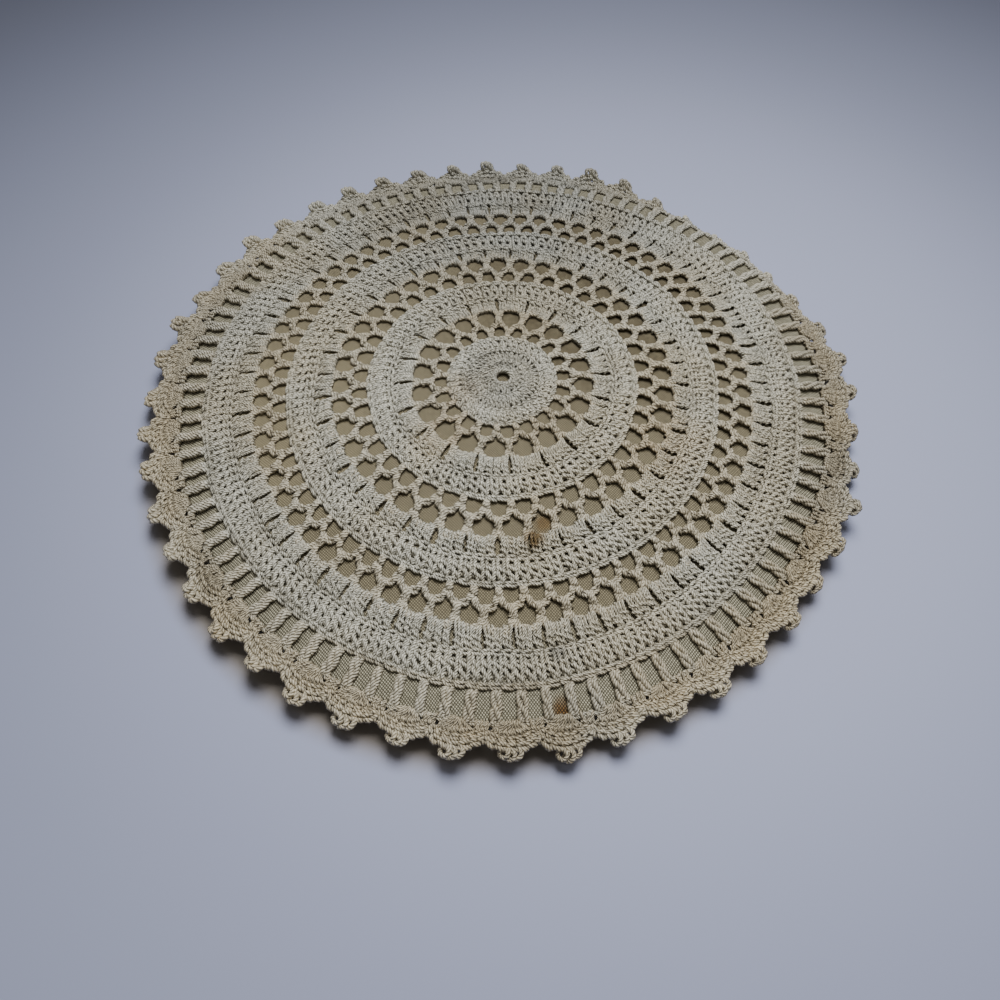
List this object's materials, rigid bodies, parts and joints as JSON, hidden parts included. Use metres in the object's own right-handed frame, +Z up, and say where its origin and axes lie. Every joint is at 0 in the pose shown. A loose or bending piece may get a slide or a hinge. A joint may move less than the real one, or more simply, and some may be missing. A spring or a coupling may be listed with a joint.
{
  "type": "crochet lace doily over a linen pad",
  "caption": "Round crocheted cotton lace doily with open net rounds and a scalloped picot edge, lying over a low domed linen-covered pad.",
  "frame": {"origin": "middle of the pad's flat underside, on the table", "axes": "+Z up through the middle of the round work; +X and +Y lie in the table, with +Y away from the near side"},
  "size_m": [0.329, 0.3245, 0.021],
  "materials": {
    "crochet_cotton": "tightly twisted mercerised cotton cord, ecru, a little lustrous, crocheted",
    "pad_linen": "matt plain-woven linen, natural beige"
  },
  "bodies": {
    "root": {"crochet_cover": "crochet_cotton", "linen_pad": "pad_linen"}
  },
  "joints": []
}
